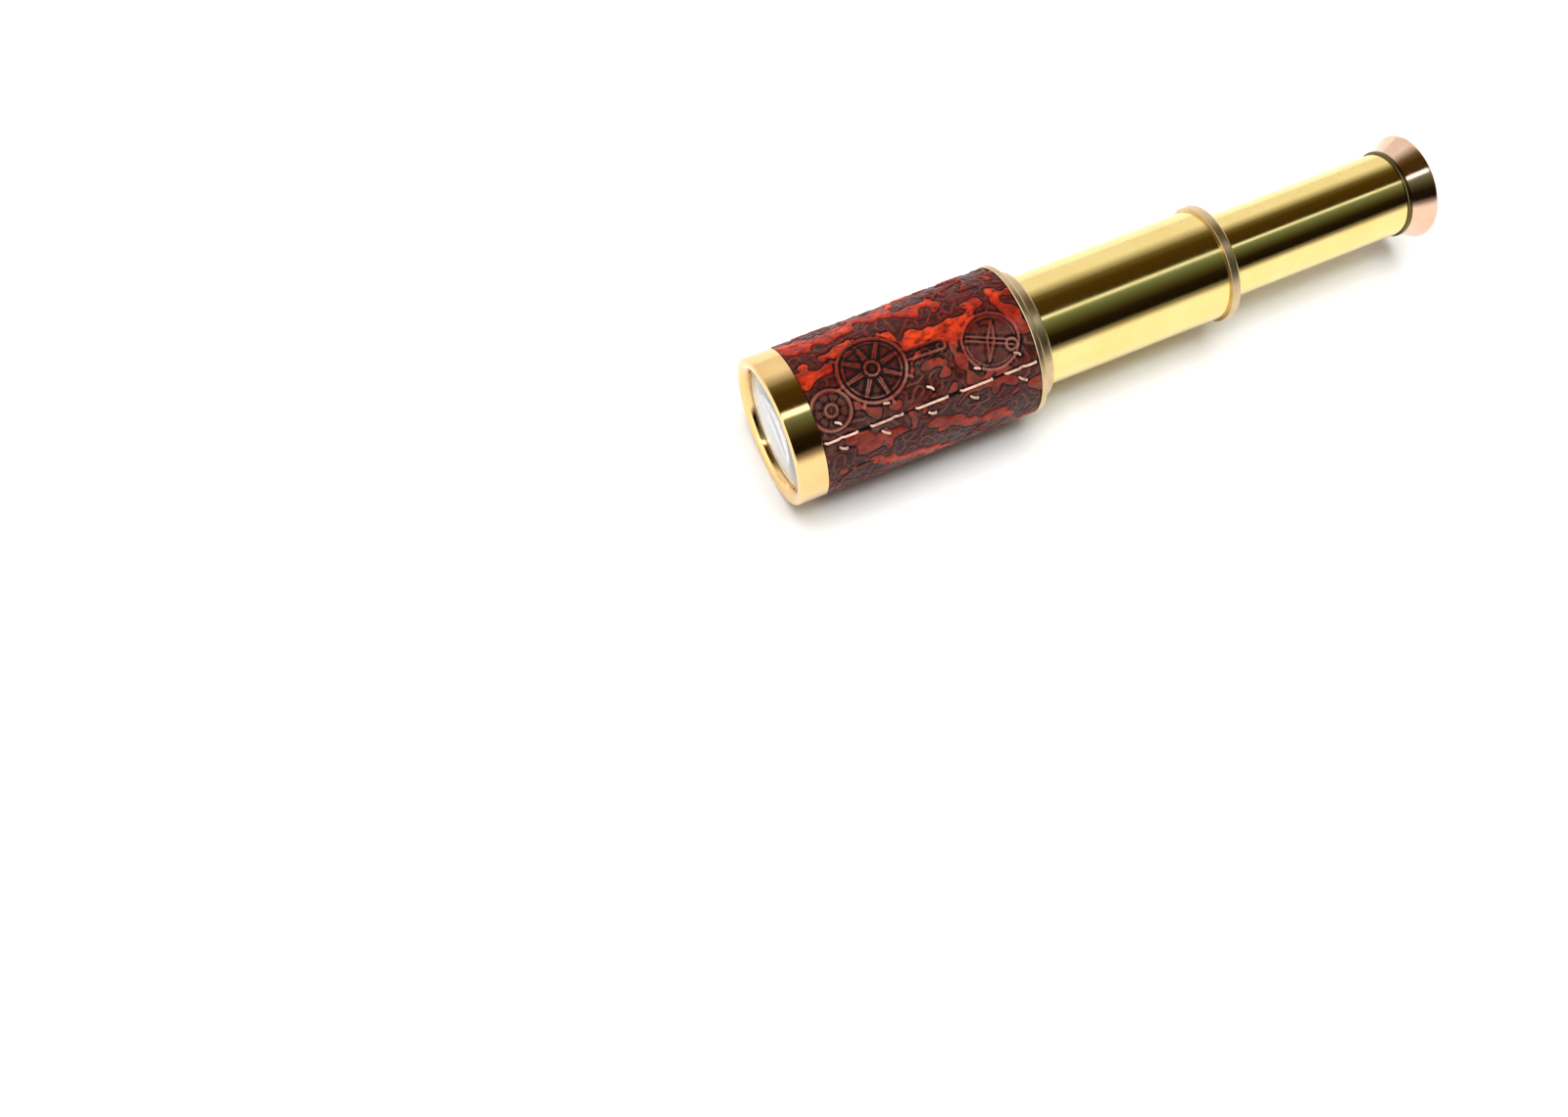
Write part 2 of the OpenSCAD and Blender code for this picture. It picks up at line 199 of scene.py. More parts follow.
def leather_material():
    """Waxed, tooled leather: orange-red islands, a maroon sea, black hollows and rust-red lines, with a
    painted sheen by the seam that turns it greyish-pink with pale lines.
    """
    s = Shader("embossed_leather").set(Coat_Weight=0.1, Coat_Roughness=0.22, Specular_IOR_Level=0.16)
    names = ("relief", "island", "line", "worn")
    relief, island, line, worn = [s.node("Attribute", attribute_name=n).outputs["Fac"] for n in names]
    cloud = s.noise(s.place((1, 1, 1)), 210, 4, 0.6)
    mottle = s.noise(s.place((1, 1.3, 1.3)), 560, 5, 0.65)
    pores = s.noise(s.place((1, 1, 1)), 3000, 2, 0.5)
    black, umber, maroon = (0.008, 0.003, 0.003), (0.04, 0.008, 0.006), (0.115, 0.008, 0.004)
    red, orange, rust = (0.27, 0.012, 0.004), (0.6, 0.045, 0.008), (0.28, 0.026, 0.012)
    sea = s.mix(s.ramp(mottle, [(0.36, 0.0), (0.56, 1.0)]), umber, maroon)
    land = s.mix(s.ramp(cloud, [(0.4, 0.0), (0.6, 1.0)]), red, orange)
    land = s.mix(s.ramp(mottle, [(0.46, 0.0), (0.62, 0.9)]), land, maroon)
    skin = s.mix(s.ramp(island, [(0.2, 0.0), (0.9, 1.0)]), sea, land)
    skin = s.mix(s.ramp(line, [(0.3, 0.0), (0.9, 0.6)]), skin, rust)
    # Painted sheen: where the worn mask is set, by the seam, the colour turns greyish-pink and paler on the
    # ridge lines. This stands in for the strip lamp's glossy reflection.
    seam_sheen_colour = s.mix(s.ramp(line, [(0.3, 0.0), (0.9, 0.8)]), (0.085, 0.042, 0.034), (0.42, 0.17, 0.12))
    seam_sheen_mask = s.math("MULTIPLY", worn, s.ramp(cloud, [(0.36, 0.2), (0.62, 0.85)]))
    skin = s.mix(seam_sheen_mask, skin, seam_sheen_colour)
    skin = s.mix(s.ramp(relief, [(0.08, 1.0), (0.42, 0.0)]), skin, black)
    s.link(skin, "Base Color")
    s.link(s.ramp(mottle, [(0.3, 0.5), (0.7, 0.32)]), "Roughness")
    s.bump(s.math("ADD", s.math("MULTIPLY", pores, 0.5), mottle), 0.00008)
    return s.material


def thread_material(name, light, dark):
    """Waxed thread: pale, soiled in patches."""
    s = Shader(name).set(Sheen_Weight=0.3, Specular_IOR_Level=0.4)
    soil = s.noise(s.place((1, 1, 1)), 420, 5, 0.7)
    fibre = s.noise(s.place((2500, 9000, 9000)), 1.0, 3)
    s.link(s.mix(s.ramp(soil, [(0.42, 0.0), (0.68, 0.85)]), light, dark), "Base Color")
    s.link(s.ramp(fibre, [(0.3, 0.55), (0.7, 0.4)]), "Roughness")
    s.bump(fibre, 0.00003)
    return s.material


def felt_material():
    """Dark green felt with a soft nap."""
    s = Shader("liner_felt").set(Sheen_Weight=0.7, Sheen_Roughness=0.5)
    fuzz = s.noise(s.place((1, 1, 1)), 4200, 5, 0.7)
    s.link(s.mix(fuzz, (0.02, 0.025, 0.015), (0.1, 0.1, 0.06)), "Base Color")
    s.link(s.ramp(fuzz, [(0.2, 0.95), (0.8, 0.8)]), "Roughness")
    s.bump(fuzz, 0.0001)
    return s.material


YELLOW = brass_material("polished_brass", (0.92, 0.73, 0.30), (0.88, 0.67, 0.25), (0.5, 0.33, 0.1))
WARM = brass_material("warm_brass", (0.90, 0.63, 0.28), (0.84, 0.54, 0.22), (0.46, 0.28, 0.1))
ROSY = brass_material("rosy_brass", (0.84, 0.59, 0.44), (0.78, 0.50, 0.35), (0.4, 0.22, 0.13), 0.07)
SATIN = brass_material("satin_brass", (0.74, 0.58, 0.36), (0.56, 0.40, 0.22), (0.24, 0.14, 0.06), 0.3)
BROWNED = brass_material("browned_brass", (0.17, 0.13, 0.05), (0.11, 0.08, 0.03), (0.05, 0.03, 0.015), 0.2)
BLACK_BRASS = black_material("blackened_brass", (0.02, 0.015, 0.01), (0.25, 0.16, 0.07), 0.8)
BLACK_ALUMINIUM = black_material("blackened_aluminium", (0.01, 0.01, 0.011), (0.05, 0.05, 0.05), 0.4)
GLASS = glass_material("lens_glass", (0.96, 0.96, 1.0))
LEATHER = leather_material()
LACE = thread_material("waxed_lace", (0.82, 0.52, 0.40), (0.30, 0.10, 0.06))
FELT = felt_material()

NODE_MATERIALS = {
    WARM: ["objective_bezel"],
    YELLOW: ["barrel_tube", "draw_1_stop_ring", "draw_1_tube",
             "draw_2_stop_ring", "draw_2_tube"],
    SATIN: ["barrel_end_ring", "draw_1_collar"],
    ROSY: ["eyecup"],
    BROWNED: ["eyepiece_base_ring"],
    BLACK_BRASS: ["objective_cell", "objective_retaining_ring"],
    BLACK_ALUMINIUM: ["draw_1_glare_stop", "erector_cell", "erector_spacer", "erector_retaining_ring",
                      "eyepiece_cell", "eyepiece_front_spacer", "field_stop", "eyepiece_rear_spacer"],
    GLASS: ["objective_crown_lens", "objective_flint_lens", "erector_front_lens", "erector_rear_lens",
            "field_lens", "eye_lens"],
    FELT: ["draw_1_friction_liner", "draw_2_friction_liner"],
}


def dress_nodes():
    for material, names in NODE_MATERIALS.items():
        for name in names:
            mesh = frame["nodes"][name].data
            mesh.materials.clear()
            mesh.materials.append(material)


dress_nodes()


# ---------------------------------------------------------------- leather wrap
# A place on the skin is (x, u) in millimetres: x runs along the axis from the bezel's front rim,
# and u runs over the top of the barrel from the laced seam at the front.

SKIN_RADIUS = WRAP_RADIUS / MM - 0.15
CREST, PIT = 0.15, -0.4  # how far the tooling may rise and sink
SKIN_LENGTH = 2 * math.pi * SKIN_RADIUS
SLIT = 0.2  # gap between the two edges that meet at the seam
LINING_RADIUS = 15.04
EDGE_ROUND = 0.3
EDGE_STEPS = [0.0, 0.04, 0.12, 0.22]  # extra rows of points over each rounded end
COLUMNS, ROWS = 540, 236
SHORE = 0.45  # height of the island field at an island's outline
LACE_FIRST, LACE_PITCH, LACE_COUNT = 10.4, 9.9, 5
LACE_CENTRES = [LACE_FIRST + LACE_PITCH * i for i in range(LACE_COUNT)]


def to_space(x, u, lift=0.0):
    """The point over a place on the skin, in metres, at a height over the skin's own level."""
    angle = SEAM_ANGLE - u / SKIN_RADIUS
    radius = (SKIN_RADIUS + lift) * MM
    return np.stack([BEZEL_START + x * MM, -radius * np.sin(angle), radius * np.cos(angle)], -1)


def circle(x, u, radius, start=0.0, turn=360.0, steps=40):
    angles = np.radians(start + np.linspace(0, turn, steps + 1))
    return np.stack([x + radius * np.cos(angles), u + radius * np.sin(angles)], -1)


def smooth(low, high, value):
    t = np.clip((value - low) / (high - low), 0, 1)
    return t * t * (3 - 2 * t)


class Skin:
    """A height field over the unrolled leather, tooled stroke by stroke."""

    def __init__(self, columns, rows, seed):
        ends = np.array(EDGE_STEPS)
        start, end = (WRAP_START - BEZEL_START) / MM, (WRAP_END - BEZEL_START) / MM
        inner = np.linspace(start + EDGE_ROUND, end - EDGE_ROUND, rows)
        self.x = np.concatenate([start + ends, inner, (end - ends)[::-1]])
        self.u = np.linspace(SLIT / 2, SKIN_LENGTH - SLIT / 2, columns)
        self.X, self.U = np.meshgrid(self.x, self.u)
        self.rng = np.random.default_rng(seed)
        self.height = np.zeros(self.X.shape)
        self.line = np.zeros(self.X.shape)

    def clouds(self, wavelength, stretch=1.0):
        """Smooth noise of one wavelength, made of many waves in random directions."""
        total = np.zeros(self.X.shape)
        for _ in range(26):
            angle, phase = self.rng.uniform(0, 2 * math.pi, 2)
            size = wavelength * self.rng.uniform(0.7, 1.4)
            k = 2 * math.pi / size
            wave = k * (self.X * math.cos(angle) / stretch + self.U * math.sin(angle)) + phase
            total += np.sin(wave)
        return total / math.sqrt(13)

    def distance(self, points, reach=1.6):
        """How far each grid point lies from a polyline, up to reach."""
        far = np.full(self.X.shape, reach * 2)
        for (x0, u0), (x1, u1) in zip(points[:-1], points[1:]):
            j0, j1 = np.searchsorted(self.x, [min(x0, x1) - reach, max(x0, x1) + reach])
            i0, i1 = np.searchsorted(self.u, [min(u0, u1) - reach, max(u0, u1) + reach])
            px, pu = self.X[i0:i1, j0:j1] - x0, self.U[i0:i1, j0:j1] - u0
            dx, du = x1 - x0, u1 - u0
            t = np.clip((px * dx + pu * du) / max(dx * dx + du * du, 1e-9), 0, 1)
            near = np.hypot(px - t * dx, pu - t * du)
            far[i0:i1, j0:j1] = np.minimum(far[i0:i1, j0:j1], near)
        return far

    def ridge(self, points, width=0.26, rise=0.3, trench=0.16):
        """A raised line with a tooled groove along each side."""
        d = self.distance(points)
        crest = np.exp(-(d / width) ** 2)
        self.height += rise * crest - trench * np.exp(-((d - 0.62) / 0.26) ** 2)
        self.line = np.maximum(self.line, crest)

    def groove(self, points, width=0.24, depth=0.3):
        self.height -= depth * np.exp(-(self.distance(points) / width) ** 2)

    def lower(self, x, u, radius, depth):
        """A sunken round field for a motif to stand in."""
        self.height -= depth * (1 - smooth(radius - 0.4, radius + 0.4, np.hypot(self.X - x, self.U - u)))


def blob(skin, x, u, length, breadth, tilt=0.0):
    """One soft bump of an island's field, tilted in degrees."""
    c, s = math.cos(math.radians(tilt)), math.sin(math.radians(tilt))
    dx, du = skin.X - x, skin.U - u
    return np.exp(-((dx * c + du * s) / length) ** 4 - ((du * c - dx * s) / breadth) ** 4)


def wheel(skin, x, u, radius, turn=12.0, spokes=8):
    """A ship's wheel with a double rim, a hub and handled spokes."""
    skin.lower(x, u, radius, 0.1)
    skin.ridge(circle(x, u, radius), 0.34)
    skin.ridge(circle(x, u, radius * 0.86), 0.16, 0.14, 0.08)
    skin.ridge(circle(x, u, radius * 0.2), 0.34, 0.32, 0.2)
    for i in range(spokes):
        a = math.radians(turn + i * 360 / spokes)
        c, s = math.cos(a), math.sin(a)
        for side in (-0.3, 0.3):
            inner, outer = radius * 0.24, radius * 0.84
            skin.ridge([(x + inner * c - side * s, u + inner * s + side * c),
                        (x + outer * c - side * s * 0.7, u + outer * s + side * c * 0.7)], 0.17, 0.22, 0.12)
        grip = radius * 1.17
        skin.ridge([(x + radius * c, u + radius * s), (x + grip * c, u + grip * s)], 0.4, 0.26)


def compass(skin, x, u, radius, turn):
    """A compass: a double circle with a slanted band across it and a pointed needle."""
    skin.ridge(circle(x, u, radius), 0.26)
    skin.ridge(circle(x, u, radius * 0.88), 0.15, 0.14, 0.08)
    c, s = math.cos(math.radians(turn)), math.sin(math.radians(turn))
    for side in (-0.45, 0.45):
        reach = radius * 0.84
        skin.ridge([(x - reach * c - side * s, u - reach * s + side * c),
                    (x + reach * c - side * s, u + reach * s + side * c)], 0.16, 0.22, 0.14)
    tip, waist = radius * 0.72, radius * 0.12
    needle = [(x - s * tip, u + c * tip), (x + c * waist, u + s * waist), (x + s * tip, u - c * tip),
              (x - c * waist, u - s * waist), (x - s * tip, u + c * tip)]
    skin.ridge(needle, 0.15, 0.18, 0.12)
    skin.ridge(circle(x + c * radius * 0.72, u + s * radius * 0.9, radius * 0.2, steps=20), 0.22)


def shell(skin, x, u, radius, turn=0.0):
    """A small round shell with a ring at its centre and short rays."""
    skin.ridge(circle(x, u, radius), 0.28)
    skin.ridge(circle(x, u, radius * 0.3, steps=20), 0.2, 0.2)
    for i in range(9):
        a = math.radians(turn + 40 * i)
        skin.groove([(x + radius * 0.45 * math.cos(a), u + radius * 0.45 * math.sin(a)),
                     (x + radius * 0.8 * math.cos(a), u + radius * 0.8 * math.sin(a))], 0.2, 0.2)


def anchor(skin, x, u, size, turn):
    """An anchor: a ring, a stock, a shank, two curved arms and their flukes."""
    c, s = math.cos(math.radians(turn)), math.sin(math.radians(turn))

    def at(a, b):
        return x + size * (a * c - b * s), u + size * (a * s + b * c)

    arms = [at(math.cos(t) * 0.55 + 0.1, math.sin(t) * 0.6) for t in np.radians(np.linspace(-80, 80, 17))]
    skin.ridge([at(-0.75, 0), at(0.65, 0)], 0.34)
    skin.ridge([at(-0.5, -0.34), at(-0.5, 0.34)], 0.3)
    skin.ridge(arms, 0.34)
    skin.ridge(circle(*at(-0.92, 0), size * 0.16, steps=16), 0.22)
    for side in (-1, 1):
        skin.ridge([at(0.02, 0.6 * side), at(0.36, 0.74 * side), at(0.3, 0.42 * side)], 0.26)


def strap(skin, x0, x1, u, half, tilt=0.0):
    """A long bar with a rounded end, outlined by a raised line."""
    end = circle(x1 - half, u, half, -90, 180, 12)
    rise = math.tan(math.radians(tilt))
    points = np.concatenate([[(x0, u - half)], end, [(x0, u + half)]])
    points[:, 1] += (points[:, 0] - x0) * rise
    skin.ridge(points, 0.22)


# Orange islands on the front of the wrap: x, u, half-length, half-breadth, tilt
ISLANDS = [
    (9.6, 15.0, 4.2, 2.6, 8), (34.5, 13.6, 6.2, 1.8, -10), (46.6, 9.8, 4.0, 2.4, -18),
    (26.2, 16.4, 1.8, 2.2, 0), (33.4, 7.4, 3.6, 1.3, 0), (38.6, 8.0, 1.6, 2.8, 0),
    (51.8, 12.2, 1.6, 2.6, 10), (17.8, 16.6, 2.2, 1.6, 20), (8.5, 23.0, 3.4, 2.4, 0),
    (27.5, 23.8, 3.2, 2.0, 10), (18.5, 22.6, 3.8, 1.8, -12), (45.5, 16.2, 2.6, 1.6, 12),
    (15.8, 96.4, 2.2, 1.3, -8), (30.5, 95.4, 2.4, 1.1, 0), (46.0, 95.0, 3.2, 1.0, 10),
    (10.6, 4.0, 1.8, 1.0, 0), (14.2, 99.4, 2.0, 0.9, 0), (25.8, 99.0, 0.9, 1.5, 0),
    (36.8, 98.2, 2.2, 1.0, 30),
]

# Motifs on the front of the wrap, then those round the back: x, u, size and any turn
FRONT_WHEEL, FRONT_SHELL = (21.0, 10.9, 7.0), (10.1, 5.9, 4.1)
FRONT_COMPASS = (45.7, 7.5, 5.9, -24)
FRONT_STRAP = (28.6, 36.8, 10.9, 1.1, -3)
WHEELS = [(38.0, 62.0, 7.4, 5.0), (14.0, 86.0, 5.6, 20.0)]
COMPASSES = [(14.5, 50.0, 6.2, 30.0), (43.5, 84.5, 5.4, -40.0)]
ANCHORS = [
    (44.0, 24.5, 5.6, 20.0), (12.5, 68.0, 6.0, 160.0), (38.5, 42.0, 6.4, 80.0), (28.5, 78.0, 5.0, 200.0),
]
MOTIF_FIELDS = [(21.0, 10.9, 7.0), (45.7, 7.5, 5.0), (10.1, 5.9, 4.0)]
MOTIF_FIELDS += [(x, u, radius * 0.9) for x, u, radius, _ in WHEELS + COMPASSES + ANCHORS]


def tool_skin():
    """Presses islands, squiggles, motifs, the seam and the lace holes into the leather."""
    skin = Skin(COLUMNS, ROWS, SEED)
    bare = np.zeros(skin.X.shape)
    for x, u, radius in MOTIF_FIELDS:
        bare = np.maximum(bare, 1 - smooth(radius, radius + 0.9, np.hypot(skin.X - x, skin.U - u)))
    land = 0.62 * skin.clouds(9.5, 1.6) + 0.34 * skin.clouds(3.4, 1.3) - 1.6 * bare
    for island in ISLANDS:
        land += 1.5 * blob(skin, *island)
    du, dx = np.gradient(land, skin.u, skin.x)
    shore = (land - SHORE) / np.maximum(np.hypot(du, dx), 0.15)
    island = smooth(-0.25, 0.35, shore)
    skin.height += -0.16 + 0.16 * island - 0.2 * np.exp(-((shore + 0.1) / 0.26) ** 2)
    skin.height -= 0.2 * smooth(0.5, 1.6, skin.clouds(2.6, 1.8)) * island
    worms = skin.clouds(3.4, 1.3)
    du, dx = np.gradient(worms, skin.u, skin.x)
    worm = np.exp(-(worms / np.maximum(np.hypot(du, dx), 0.4) / 0.26) ** 2)
    sea = (1 - smooth(-1.4, -0.3, shore)) * (1 - bare)
    skin.height += (0.2 * worm - 0.12) * sea
    skin.line = np.maximum(skin.line, 0.55 * worm * sea)
    wheel(skin, *FRONT_WHEEL)
    compass(skin, *FRONT_COMPASS)
    shell(skin, *FRONT_SHELL)
    strap(skin, *FRONT_STRAP)
    for x, u, size, turn in ANCHORS:
        anchor(skin, x, u, size, turn)
    for x, u, radius, turn in WHEELS:
        wheel(skin, x, u, radius, turn)
    for x, u, radius, turn in COMPASSES:
        compass(skin, x, u, radius, turn)
    seam = np.minimum(skin.U, SKIN_LENGTH - skin.U)
    skin.height += 0.06 * np.exp(-((seam - 1.1) / 0.7) ** 2) - 0.4 * np.exp(-(seam / 0.34) ** 2)
    for x, u in lace_holes():
        hole = np.hypot(skin.X - x, (skin.U - u + SKIN_LENGTH / 2) % SKIN_LENGTH - SKIN_LENGTH / 2)
        skin.height -= 0.55 * np.exp(-(hole / 0.42) ** 2)
    skin.height += 0.018 * skin.clouds(0.9) + 0.02 * skin.clouds(1.7)
    skin.island = island * (1 - bare)
    # Painted sheen, kept in the worn field: a band beside the seam where the colour turns greyish-pink.
    # This stands in for the strip lamp's glossy reflection.
    skin.worn = smooth(11.5, 8.0, skin.U) + smooth(SKIN_LENGTH - 15.0, SKIN_LENGTH - 1.0, skin.U)
    return skin


def lace_holes():
    """Where the lace goes down through the leather."""
    holes = []
    for line in lace_lines():
        holes += [line[0], line[-1]]
    return holes


# Each bar's two ties: where they start, and how far each one slants
TIES = [(-0.4, 0.9, 0.7), (0.3, 0.3, 1.1), (-0.1, 1.1, 0.5), (0.5, 0.6, 0.9), (-0.5, 0.9, 1.2)]


def lace_lines():
    """Each visible stretch of lace as (x, u) points: bars along the seam and slanted ties beside it."""
    lines = []
    for i, x in enumerate(LACE_CENTRES):
        lines.append([(x - 3.5, 0.0), (x, 0.0), (x + 3.5, 0.0)])
        start, rise, tail = TIES[i]
        foot = x - start
        lines.append([(x + start, 3.4), (x + start + 0.6, 3.4 - 0.3 * rise), (x + start + 1.2, 3.4 - rise)])
        lines.append([(foot - 1.2, -2.0), (foot - 0.4, -2.0 - tail / 2), (foot + 0.4, -2.0 - tail)])
    return lines


def leather():
    skin = tool_skin()
    edge = np.minimum(skin.X - skin.x[0], skin.x[-1] - skin.X) / EDGE_ROUND
    drop = EDGE_ROUND * (1 - np.sqrt(1 - np.clip(1 - edge, 0, 1) ** 2))
    height = np.clip(skin.height, PIT, CREST) - drop
    outer = to_space(skin.X, skin.U, height).reshape(-1, 3)
    rows, columns = skin.x.size, skin.u.size
    depth = LINING_RADIUS - SKIN_RADIUS
    front = to_space(np.full(columns, skin.x[0]), skin.u, depth)
    back = to_space(np.full(columns, skin.x[-1]), skin.u, depth)
    lining = rows * columns
    faces = []
    for i in range(columns - 1):
        a, b, c = i * rows, (i + 1) * rows, lining + i
        faces += [(a + j, b + j, b + j + 1, a + j + 1) for j in range(rows - 1)]
        faces.append((c, c + columns, c + columns + 1, c + 1))
        faces.append((a, c, c + 1, b))
        faces.append((a + rows - 1, b + rows - 1, c + columns + 1, c + columns))
    last = (columns - 1) * rows
    faces.append(tuple(range(rows)) + (lining + columns, lining))
    last_side = tuple(range(last + rows - 1, last - 1, -1))
    faces.append(last_side + (lining + columns - 1, lining + 2 * columns - 1))
    piece = make_piece("embossed_leather", np.concatenate([outer, front, back]), faces, LEATHER)
    pad = np.zeros(2 * columns)
    relief = (height - PIT) / (CREST - PIT)
    # worn holds the painted sheen mask beside the seam.
    fields = {"relief": relief, "island": skin.island, "line": skin.line, "worn": skin.worn}
    for name, values in fields.items():
        layer = piece.data.attributes.new(name, "FLOAT", "POINT")
        values = np.concatenate([np.clip(values, 0, 1).ravel(), pad])
        layer.data.foreach_set("value", values.astype(np.float32))
    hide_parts("leather_wrap")
    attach(piece, "barrel")


def make_piece(name, points, faces, material):
    mesh = bpy.data.meshes.new(name)
    mesh.from_pydata([tuple(p) for p in points], [], faces)
    mesh.validate()
    mesh.shade_smooth()
    mesh.materials.append(material)
    piece = bpy.data.objects.new(name, mesh)
    bpy.context.scene.collection.objects.link(piece)
    return piece


# ---------------------------------------------------------------- lacing

LACE_RADIUS = 0.27
LACE_LIFT = 0.1
PLIES = 3
LACE_TURN = 1.3  # length of one full twist


def smooth_line(points, count):
    """Catmull-Rom curve through the points, in evenly spaced steps of its parameter."""
    p = np.array([points[0], *points, points[-1]], float)
    out = []
    for t in np.linspace(0, len(points) - 1, count):
        i = min(int(t), len(points) - 2)
        f = t - i
        a, b, c, d = p[i:i + 4]
        square, cube = 2 * a - 5 * b + 4 * c - d, 3 * b - a - 3 * c + d
        out.append(0.5 * (2 * b + (c - a) * f + square * f ** 2 + cube * f ** 3))
    return np.array(out)


def thread(line, dips, points, faces):
    """A twisted thread along one stretch, diving into the leather at its ends and at its dips."""
    rings = int(np.hypot(*(np.array(line[-1]) - line[0])) / 0.11) + 8
    sides = 18
    place = smooth_line(line, rings)
    t = np.linspace(0, 1, rings)
    length = np.hypot(*(np.array(line[-1]) - line[0]))
    depth = 0.75 * (smooth(0.45, 0, t * length) + smooth(0.45, 0, (1 - t) * length))
    for dip in dips:
        depth += 0.42 * np.exp(-((t - dip) * length / 0.55) ** 2)
    centre = to_space(place[:, 0], place[:, 1], LACE_LIFT - depth)
    ahead = np.gradient(centre, axis=0)
    ahead /= np.linalg.norm(ahead, axis=1)[:, None]
    up = centre * np.array([0, 1, 1])
    across = np.cross(ahead, up)
    across /= np.linalg.norm(across, axis=1)[:, None]
    up = np.cross(across, ahead)
    first = len(points)
    for i in range(rings):
        a = np.arange(sides) * 2 * math.pi / sides
        twist = 2 * math.pi * t[i] * length / LACE_TURN
        r = LACE_RADIUS * MM * (1 - 0.16 * np.abs(np.sin(PLIES * (a - twist) / 2)) ** 6)
        r *= 1 - 0.35 * (i in (0, rings - 1))
        sideways, upward = (np.cos(a) * r)[:, None], (np.sin(a) * r)[:, None]
        points.extend(centre[i] + sideways * across[i] + upward * up[i])
    for i in range(rings - 1):
        for k in range(sides):
            a, b = first + i * sides + k, first + i * sides + (k + 1) % sides
            faces.append((a, b, b + sides, a + sides))
    faces.append(tuple(first + k for k in reversed(range(sides))))
    faces.append(tuple(first + (rings - 1) * sides + k for k in range(sides)))


# Stretches of lace that dip part of the way along
DIPS = {0: [0.5], 3: [0.72], 12: [0.55]}


def lacing():
    points, faces = [], []
    for i, line in enumerate(lace_lines()):
        thread(line, DIPS.get(i, []), points, faces)
    piece = make_piece("waxed_lacing", points, faces, LACE)
    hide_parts("seam_lacing")
    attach(piece, "barrel")


leather()
lacing()


# ---------------------------------------------------------------- studio

FLOOR_REACH = 3.0
FILL_DIRECTION = (0.0, 0.05, -1.0)
FILL_SPREAD = 45
FILL_STRENGTH = 3.4


def floor():
    r = FLOOR_REACH
    mesh = bpy.data.meshes.new("floor")
    mesh.from_pydata([(-r, -r, 0), (r, -r, 0), (r, r, 0), (-r, r, 0)], [], [(0, 1, 2, 3)])
    piece = bpy.data.objects.new("floor", mesh)
    piece.location.z = FLOOR_Z
    bpy.context.scene.collection.objects.link(piece)
    s = Shader("pale_floor").set(Specular_IOR_Level=0.2, Roughness=0.8, Base_Color=(0.86, 0.86, 0.86, 1))
    mesh.materials.append(s.material)


def fill_light(direction, spread, strength):
    """An even, soft overhead light that the metal doesn't mirror."""
    light = bpy.data.lights.new("fill", "SUN")
    light.angle = math.radians(spread)
    light.energy = strength
    lamp = bpy.data.objects.new("fill", light)
    lamp.rotation_euler = Vector(direction).to_track_quat("-Z", "Y").to_euler()
    lamp.visible_glossy = False
    bpy.context.scene.collection.objects.link(lamp)


# The studio's walls and ceiling: degrees from straight up, positive towards the front, and a colour.
# They aren't plain: they were set from colours sampled across the photograph's brass, so that the
# tubes mirror the same bands. See the report's known problems.
WALLS = [
    (-180, (0.95, 0.95, 0.95)), (-54, (1.02, 1.0, 0.97)), (-42, (0.56, 0.53, 0.46)),
    (-31, (0.16, 0.13, 0.06)), (-18, (0.075, 0.045, 0.006)), (8, (0.05, 0.03, 0.006)),
    (11, (0.2, 0.21, 0.19)), (13.5, (1.15, 1.2, 1.25)), (16.5, (1.0, 1.1, 1.1)),
    (20, (0.24, 0.3, 0.24)), (29, (0.14, 0.18, 0.11)), (42, (0.07, 0.065, 0.025)),
    (54, (0.018, 0.012, 0.005)), (73, (0.008, 0.005, 0.003)), (82, (0.35, 0.32, 0.28)),
    (88, (0.95, 0.94, 0.92)), (180, (0.95, 0.95, 0.95)),
]
# A white card that faces the objective: the X of directions where it is full and where it ends
CARD, CARD_LEVEL = (-0.88, -0.68), 1.6
# A lamp along the top, which the bezel mirrors: degrees and level, then the X where it fades out
LAMP = [(9, (0, 0, 0)), (12.5, (1, 1, 1)), (17, (1, 1, 1)), (21, (0, 0, 0))]
LAMP_END, LAMP_LEVEL = (0.26, 0.36), 1.6


def angle_ramp(tree, angle, stops):
    """A colour for each angle, given in degrees from straight up."""
    node = tree.nodes.new("ShaderNodeValToRGB")
    elements = node.color_ramp.elements
    while len(elements) < len(stops):
        elements.new(0.5)
    for element, (degrees, colour) in zip(elements, stops):
        element.position = (degrees + 180) / 360
        element.color = (*colour, 1)
    tree.links.new(angle, node.inputs[0])
    return node.outputs[0]


def fade(tree, value, ends, level):
    """A level that falls smoothly to nothing between two values."""
    node = tree.nodes.new("ShaderNodeMapRange")
    node.interpolation_type = "SMOOTHSTEP"
    node.inputs["From Min"].default_value, node.inputs["From Max"].default_value = ends
    node.inputs["To Min"].default_value, node.inputs["To Max"].default_value = level, 0
    tree.links.new(value, node.inputs["Value"])
    return node.outputs[0]


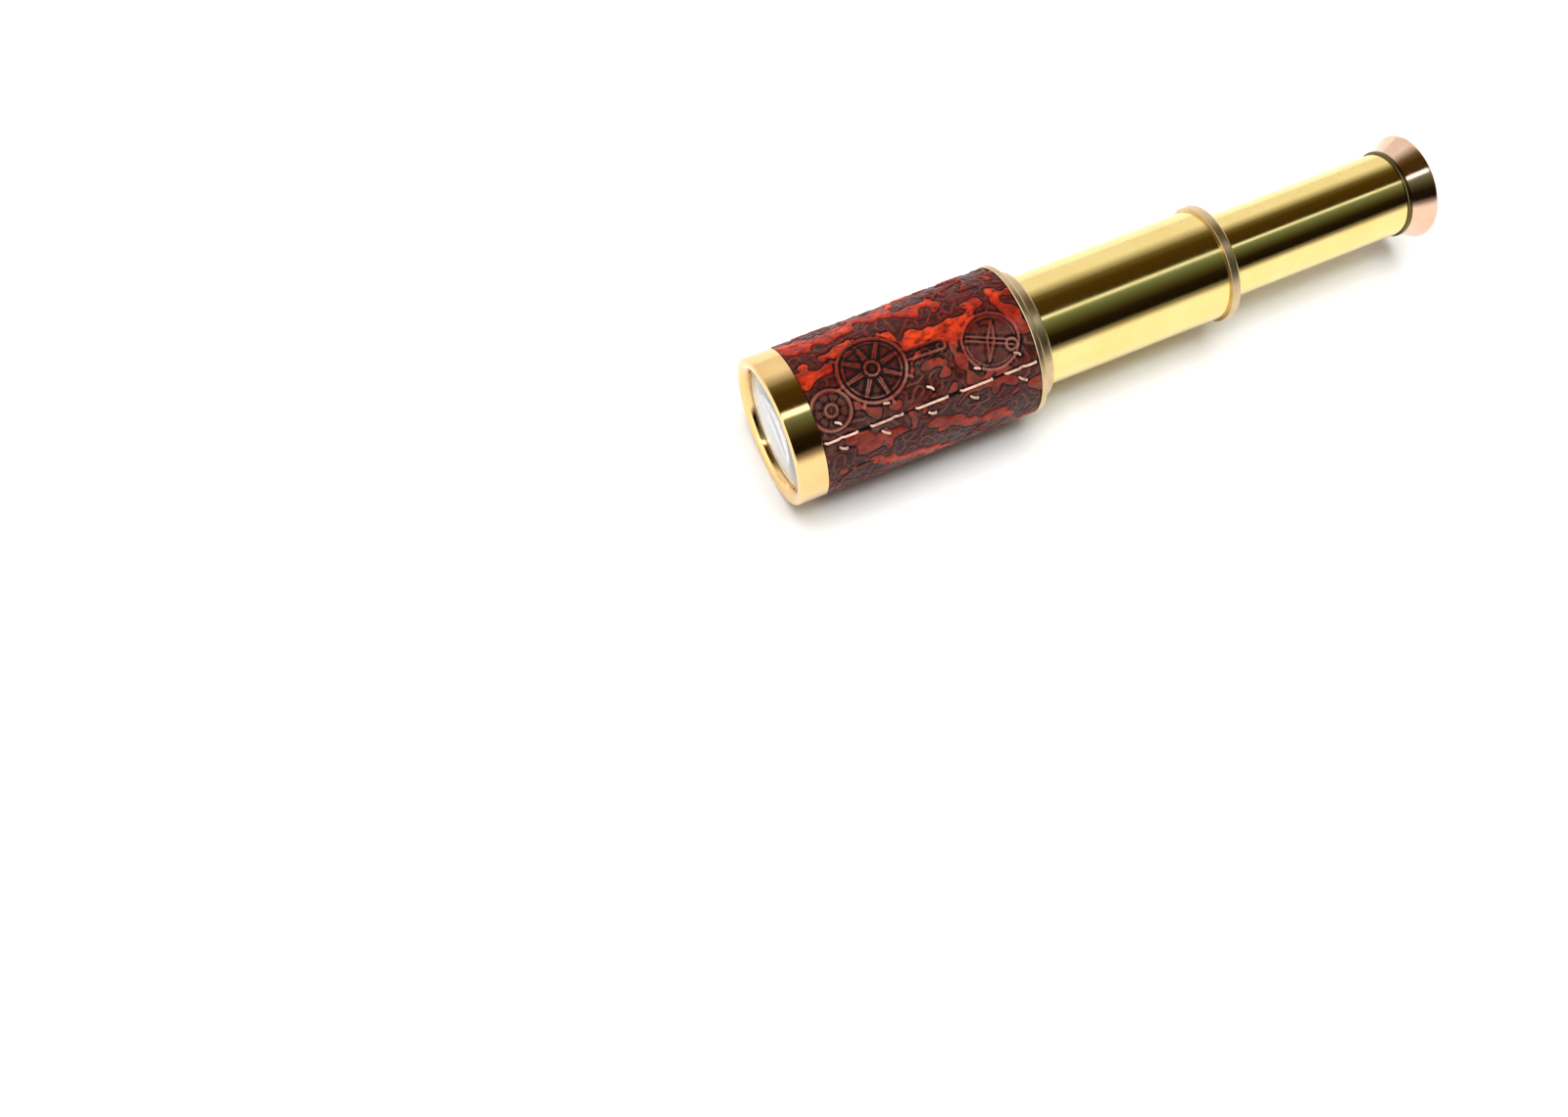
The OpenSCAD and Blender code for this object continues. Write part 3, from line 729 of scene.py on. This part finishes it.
def world():
    """Coloured bands round the telescope's axis, with a card before the objective and a lamp on top."""
    sky = bpy.data.worlds.new("studio")
    sky.use_nodes = True
    tree = sky.node_tree
    split = tree.nodes.new("ShaderNodeSeparateXYZ")
    turn = tree.nodes.new("ShaderNodeMath")
    turn.operation = "ARCTAN2"
    flip = tree.nodes.new("ShaderNodeMath")
    flip.operation = "MULTIPLY"
    flip.inputs[1].default_value = -1
    scale = tree.nodes.new("ShaderNodeMath")
    scale.operation = "MULTIPLY_ADD"
    scale.inputs[1].default_value = 1 / (2 * math.pi)
    scale.inputs[2].default_value = 0.5
    tree.links.new(tree.nodes.new("ShaderNodeTexCoord").outputs["Generated"], split.inputs[0])
    tree.links.new(split.outputs["Y"], flip.inputs[0])
    tree.links.new(flip.outputs[0], turn.inputs[0])
    tree.links.new(split.outputs["Z"], turn.inputs[1])
    tree.links.new(turn.outputs[0], scale.inputs[0])
    blend = tree.nodes.new("ShaderNodeMix")
    blend.data_type = "RGBA"
    blend.clamp_result = False
    blend.inputs[7].default_value = (CARD_LEVEL, CARD_LEVEL, CARD_LEVEL, 1)
    tree.links.new(fade(tree, split.outputs["X"], CARD, 1), blend.inputs[0])
    tree.links.new(angle_ramp(tree, scale.outputs[0], WALLS), blend.inputs[6])
    glow = tree.nodes.new("ShaderNodeVectorMath")
    glow.operation = "MULTIPLY_ADD"
    tree.links.new(angle_ramp(tree, scale.outputs[0], LAMP), glow.inputs[0])
    tree.links.new(fade(tree, split.outputs["X"], LAMP_END, LAMP_LEVEL), glow.inputs[1])
    tree.links.new(blend.outputs[2], glow.inputs[2])
    tree.links.new(glow.outputs[0], tree.nodes["Background"].inputs[0])
    bpy.context.scene.world = sky
    bpy.context.scene.view_settings.view_transform = "Standard"


# The camera of the matching view, fitted to the photograph's outlines: the way it faces in degrees,
# its lens in millimetres, and where it stands in barrel radii from the bezel's front rim
YAW, PITCH, LENS = 24.45, 62.43, 42.9
STAND = (-4.877, -11.219, 20.028)


def camera():
    yaw, pitch = math.radians(YAW), math.radians(PITCH)
    place = Vector(STAND) * WRAP_RADIUS + Vector((BEZEL_START, 0, 0))
    level = math.cos(pitch)
    forward = Vector((math.sin(yaw) * level, math.cos(yaw) * level, -math.sin(pitch)))
    data = bpy.data.cameras.new("camera")
    data.lens = LENS
    data.sensor_width = 36.0
    data.clip_start = 0.01
    eye = bpy.data.objects.new("camera", data)
    eye.location = place
    eye.rotation_euler = forward.to_track_quat("-Z", "Y").to_euler()
    bpy.context.scene.collection.objects.link(eye)
    bpy.context.scene.camera = eye


floor()
fill_light(FILL_DIRECTION, FILL_SPREAD, FILL_STRENGTH)
world()
camera()
